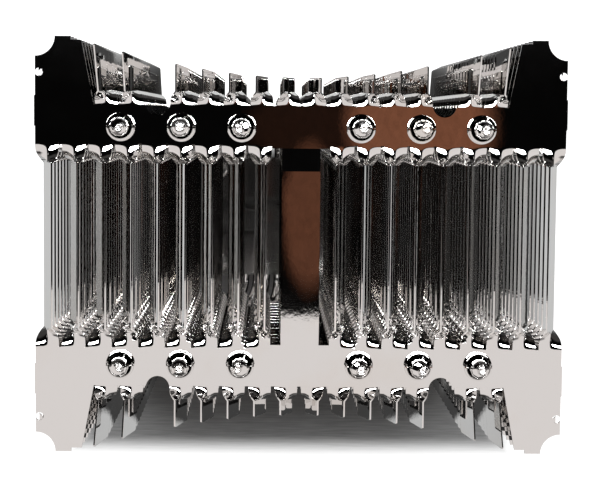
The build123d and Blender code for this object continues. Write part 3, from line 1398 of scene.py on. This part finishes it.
@dataclass
class BaseClamp:
    """The contact plate and the cap over it, grooved for the tubes, and the four screws.

    Attributes:
        corner: Cut of the upright corners.
        edge: Rounding of the other edges.
        groove_length: Length of the bars that leave the grooves, past both ends.
        plate_top: Height over the plate to which its screw rods reach.
        drill_length: Length of the rods that pass through the cap.
        head_outline: (radius, height over the head's top) of the rings of a screw head.
        thread_end: Cone at the end of a screw.
        core: Radius of the pin hole that closes a turned screw.
    """

    corner: float = 2.0
    edge: float = 0.35
    edge_angle: float = 40.0
    smooth_angle: float = 30.0
    groove_length: float = 80.0
    plate_top: float = 20.0
    drill_length: float = 30.0
    groove_radius: float = 3.05
    groove_count: int = 6
    hole_sides: int = 48
    channel_width: float = 14.0
    channel_depth: float = 1.5
    bar_hole_x: float = 25.0
    bar_hole_radius: float = 2.0
    screw_x: float = 25.0
    screw_y: float = 16.0
    screw_hole_radius: float = 1.6
    screw_hole_sides: int = 32
    screw_radius: float = 1.5
    screw_sides: int = 40
    screw_smooth: float = 35.0
    thread_end: float = 0.3
    core: float = 0.05
    head_outline: tuple[Pair, ...] = ((1.3, -0.03), (2.1, -0.3), (2.6, -0.9), (2.75, -1.6), (2.75, -2.5))
    recess_width: float = 0.75
    recess_reach: float = 1.5
    recess_depth: float = 1.3

    def grooves(self) -> list[Thing]:
        """Bars that leave the tubes' grooves.

        Returns:
            The bars.
        """
        radius, length = self.groove_radius, self.groove_length
        first = -(self.groove_count - 1) / 2 * BASE_PITCH
        places = [(first + k * BASE_PITCH, 0, BASE_Z) for k in range(self.groove_count)]
        return [rod("groove", radius, length, place, self.hole_sides, tip=90) for place in places]

    def blank(self, node: str) -> Thing:
        """A block with cut corners, the size of a node.

        Args:
            node: Name of the node.

        Returns:
            The block.
        """
        low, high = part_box(node)
        piece = block(f"{node}_block", low / METRES, high / METRES)
        take_edges(piece, lambda edge: abs(edge.verts[0].co.z - edge.verts[1].co.z) > NEAR)
        bpy.ops.mesh.bevel(offset=self.corner, segments=1, affect="EDGES")
        clear()
        return piece

    def screw_rods(self, low: float, high: float) -> list[Thing]:
        """Upright rods that leave the screw holes.

        Args:
            low: Their lower end.
            high: Their upper end.

        Returns:
            The rods.
        """
        radius, sides = self.screw_hole_radius, self.screw_hole_sides
        places = [(sx * self.screw_x, sy * self.screw_y, (low + high) / 2) for sx, sy in QUARTERS]
        return [rod("rod", radius, high - low, place, sides) for place in places]

    def finish(self, piece: Thing, material: Look) -> None:
        """Breaks the edges, and gives a block its material and its size in metres.

        Args:
            piece: The block.
            material: Its material.
        """
        limit = math.radians(self.edge_angle)
        modify(piece, "BEVEL", width=self.edge, segments=2, limit_method="ANGLE", angle_limit=limit)
        paint(piece, material)
        soften(piece, self.smooth_angle)
        to_metres(piece)

    def plate(self, palette: Palette) -> Piece:
        """The contact plate.

        Args:
            palette: The finishes.

        Returns:
            The plate.
        """
        piece = self.blank("base_plate")
        screw_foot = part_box("cap_screws")[0].z / METRES
        rods = self.screw_rods(screw_foot - self.thread_end, self.plate_top)
        carve(piece, self.grooves() + rods)
        self.finish(piece, palette.block)
        return Piece(piece, "base_plate", Slot.BASE)

    def cap(self, palette: Palette) -> Piece:
        """The cap, with the channel and the two holes of the mounting bar.

        Args:
            palette: The finishes.

        Returns:
            The cap.
        """
        piece = self.blank("base_cap")
        low, high = (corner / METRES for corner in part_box("base_cap"))
        half = self.channel_width / 2
        channel = block(
            "channel", (low.x - 1, -half, high.z - self.channel_depth), (high.x + 1, half, high.z + 1)
        )
        radius, length = self.bar_hole_radius, self.drill_length
        places = [(sx * self.bar_hole_x, 0, high.z) for sx in (-1, 1)]
        holes = [rod("hole", radius, length, place, self.hole_sides) for place in places]
        carve(piece, self.grooves() + self.screw_rods(0, self.drill_length) + [channel])
        carve(piece, holes)
        self.finish(piece, palette.block)
        return Piece(piece, "base_cap", Slot.BASE)

    def screws(self, palette: Palette) -> Piece:
        """Four pan head screws with cross recesses.

        Args:
            palette: The finishes.

        Returns:
            The screws, as one piece.
        """
        low, high = (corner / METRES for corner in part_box("cap_screws"))
        outline = [(self.core, high.z)]
        outline += [(radius, high.z + drop) for radius, drop in self.head_outline]
        outline += [
            (self.screw_radius, outline[-1][1]),
            (self.screw_radius, low.z + self.thread_end),
            (self.screw_radius - self.thread_end, low.z),
            (self.core, low.z),
        ]
        screw = lathe("screw", outline, self.screw_sides, closed=True)
        floor = high.z - self.recess_depth
        wide, thin = self.recess_reach, self.recess_width / 2
        bars = [
            block("recess", (-wide, -thin, floor), (wide, thin, high.z + 1)),
            block("recess", (-thin, -wide, floor), (thin, wide, high.z + 1)),
        ]
        for bar in bars:
            carve(screw, [bar])
        name = "cap_screws_set"
        copies = [copy(screw, name, sx * self.screw_x, sy * self.screw_y) for sx, sy in QUARTERS]
        bpy.data.objects.remove(screw)
        group = join(copies)
        group.name = name
        paint(group, palette.steel)
        soften(group, self.screw_smooth)
        to_metres(group)
        return Piece(group, "cap_screws", Slot.SCREW)

    def build(self, palette: Palette) -> list[Piece]:
        """Builds the plate, the cap and the screws."""
        return [self.plate(palette), self.cap(palette), self.screws(palette)]


@dataclass
class Studio:
    """Table, softbox, glowing card and surroundings: dark above, pale in front, bright behind.

    Attributes:
        panel_edge: How far in front of the zenith the pale panel starts.
        panel_slant: How much farther it starts for each step to the side.
        panel_soft: Half width of its edge.
        panel_share: Share of the panel's light that reaches what isn't a mirror.
        panel_foot: Height at which the panel starts, and at which it is full.
        foot_side: Side view, from which the panel reaches down to the table.
        wing_side: Side view at which the two pale wings behind the panel start.
        wing_tip: Side view at which they end.
        wing_height: Height at which they start.
        wing_start: Y at which they start.
        wing_end: Y at which they end.
        horizon: Height at which the horizon's light starts to fade, and at which it is gone.
        mirror_bounces: Mirror bounces between nested sheets, which turn black with fewer.
    """

    table_low: Pair = (-0.42, -1.6)
    table_high: Pair = (0.42, 0.42)
    lamp_place: Triple = (0.0, 0.28, 1.15)
    lamp_size: Pair = (1.0, 0.3)
    lamp_power: float = 19.0
    panel_edge: float = 0.1166
    panel_slant: float = 0.03
    panel_soft: float = 0.002
    panel_light: float = 0.8
    panel_tint: Triple = (1.0, 0.945, 0.92)
    panel_share: float = 0.2
    panel_foot: Pair = (0.05, 0.35)
    foot_side: Pair = (0.5, 0.7)
    wing_side: Pair = (0.62, 0.76)
    wing_tip: Pair = (0.85, 0.87)
    wing_height: Pair = (0.45, 0.54)
    wing_start: Pair = (0.004, 0.016)
    wing_end: Pair = (0.06, 0.08)
    dark_light: float = 0.0015
    horizon_light: float = 0.045
    horizon: Pair = (0.15, 0.5)
    card_low: Pair = (-60, -110)
    card_high: Pair = (160, 100)
    mirror_bounces: int = 12

    def floor(self) -> None:
        """The table top, under the contact face."""
        table = plane("table", self.table_low, self.table_high)
        paint(table, FloorFinish().material())

    def lamp(self) -> None:
        """The softbox behind and above the cooler."""
        light = bpy.data.lights.new("softbox", "AREA")
        light.shape = "RECTANGLE"
        light.size, light.size_y = self.lamp_size
        light.energy = self.lamp_power
        lamp = bpy.data.objects.new("softbox", light)
        lamp.location = self.lamp_place
        lamp.visible_camera = False
        bpy.context.scene.collection.objects.link(lamp)

    def panel(self, recipe: Recipe, x: Socket, y: Socket, z: Socket) -> Socket:
        """Adds the shape of the pale panel and its wings.

        Args:
            recipe: The world's nodes.
            x: Direction of the view along X.
            y: Along Y.
            z: Along Z.

        Returns:
            1 where it is pale, 0 where it is dark.
        """
        side = recipe.math("ABSOLUTE", x)
        slant = recipe.times(side, self.panel_slant)
        rise = recipe.times(recipe.most(z, 0.0), self.panel_edge)
        front = recipe.minus(recipe.times(y, -1.0), recipe.math("ADD", slant, rise))
        reach = recipe.most(recipe.ramp(z, *self.panel_foot), recipe.ramp(side, *self.foot_side))
        panel = recipe.times(recipe.ramp(front, -self.panel_soft, self.panel_soft), reach)
        wing = recipe.times(recipe.ramp(side, *self.wing_side), recipe.ramp(z, *self.wing_height))
        wing = recipe.times(wing, recipe.ramp(y, *self.wing_start), recipe.fall(side, *self.wing_tip))
        return recipe.most(panel, recipe.times(wing, recipe.fall(y, *self.wing_end)))

    def surroundings(self) -> None:
        """The world: its light depends on direction, and the camera sees it white."""
        world = bpy.data.worlds.new("studio")
        world.use_nodes = True
        bpy.context.scene.world = world
        recipe = Recipe(world.node_tree)
        view = recipe.add("ShaderNodeTexCoord").outputs["Generated"]
        x, y, z = recipe.add("ShaderNodeSeparateXYZ", vector=view).outputs
        low = recipe.fall(z, *self.horizon)
        dark = recipe.math("ADD", recipe.times(low, self.horizon_light), self.dark_light)
        light = recipe.most(recipe.times(self.panel(recipe, x, y, z), self.panel_light), dark)
        rays = recipe.add("ShaderNodeLightPath").outputs
        soft = recipe.times(rays["Is Diffuse Ray"], self.panel_share - 1.0)
        light = recipe.times(light, recipe.math("ADD", soft, 1.0))
        red, green, blue = (recipe.times(light, share) for share in self.panel_tint)
        tone = recipe.add("ShaderNodeCombineColor", i0=red, i1=green, i2=blue).outputs[0]
        seen = recipe.blend(rays["Is Camera Ray"], tone, (1, 1, 1, 1))
        back = recipe.add("ShaderNodeBackground", color=seen, strength=1.0)
        recipe.add("ShaderNodeOutputWorld", surface=back.outputs[0])

    def card(self) -> None:
        """The card beside the camera with dim brown patches that glow, a painted reflection that only the
        metal sees.
        """
        finish = CardFinish()
        card = plane("brown_card", self.card_low, self.card_high)
        to_metres(card)
        card.data.transform(Matrix.Translation((0, 0, finish.height * METRES)))
        paint(card, finish.material())
        card.visible_camera = False
        card.visible_diffuse = False
        card.visible_shadow = False

    def build(self) -> None:
        """Builds the stage and the light."""
        self.floor()
        self.card()
        self.lamp()
        self.surroundings()
        bpy.context.scene.view_settings.view_transform = "Standard"
        bpy.context.scene.cycles.glossy_bounces = self.mirror_bounces


@dataclass
class PhotoCamera:
    """Camera over the top fin, worked out from the tube tips, the ears and the bridge.

    Attributes:
        place: In millimetres.
        turns: About X, Y and Z.
        focal_pixels: Focal length in pixels of a picture 600 wide.
    """

    place: Triple = (-8.5, 34.8, 593.9)
    turns: Triple = (-4.58, -1.04, 0.55)
    focal_pixels: float = 1682.0
    picture_width: float = 600.0
    sensor: float = 36.0
    clip_start: float = 0.01

    def build(self) -> None:
        """Adds the camera and makes it the scene's own."""
        data = bpy.data.cameras.new("photo_camera")
        data.sensor_fit = "HORIZONTAL"
        data.sensor_width = self.sensor
        data.lens = self.focal_pixels / self.picture_width * self.sensor
        data.clip_start = self.clip_start
        camera = bpy.data.objects.new("photo_camera", data)
        camera.location = Vector(self.place) * METRES
        camera.rotation_euler = tuple(math.radians(angle) for angle in self.turns)
        bpy.context.scene.collection.objects.link(camera)
        bpy.context.scene.camera = camera


def cad_nodes() -> list[str]:
    """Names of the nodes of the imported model."""
    return sorted(o["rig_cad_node"] for o in bpy.data.objects if "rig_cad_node" in o)


def plate_middle(node: str) -> float:
    """Height of the middle of a fin's flat plate, in metres.

    The louvres reach as far below the plate as above it, so half the height of the lowest fin, which
    has the same louvres, is the way from a fin's lowest point to its plate.
    """
    low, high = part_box("fin_01")
    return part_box(node)[0].z + (high.z - low.z) / 2


def dress_nodes(palette: Palette) -> None:
    """Gives the carried-over nodes the finishes of their slots.

    Args:
        palette: The finishes.
    """
    finish = {"fin": palette.sheet, "heat": palette.tube, "base": palette.block, "cap": palette.steel}
    for thing in bpy.data.objects:
        if "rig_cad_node" in thing:
            paint(thing, finish[thing.name.split("_")[0]])


def main() -> None:
    """Builds the studio, the camera and every piece."""
    logging.basicConfig(level=logging.INFO, format="%(name)s: %(message)s")
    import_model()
    Studio().build()
    PhotoCamera().build()
    palette = Palette()
    dress_nodes(palette)
    for maker in (FinStack(), HeatPipes(), BaseClamp()):
        for piece in maker.build(palette):
            piece.install()


if __name__ == "__main__":
    main()
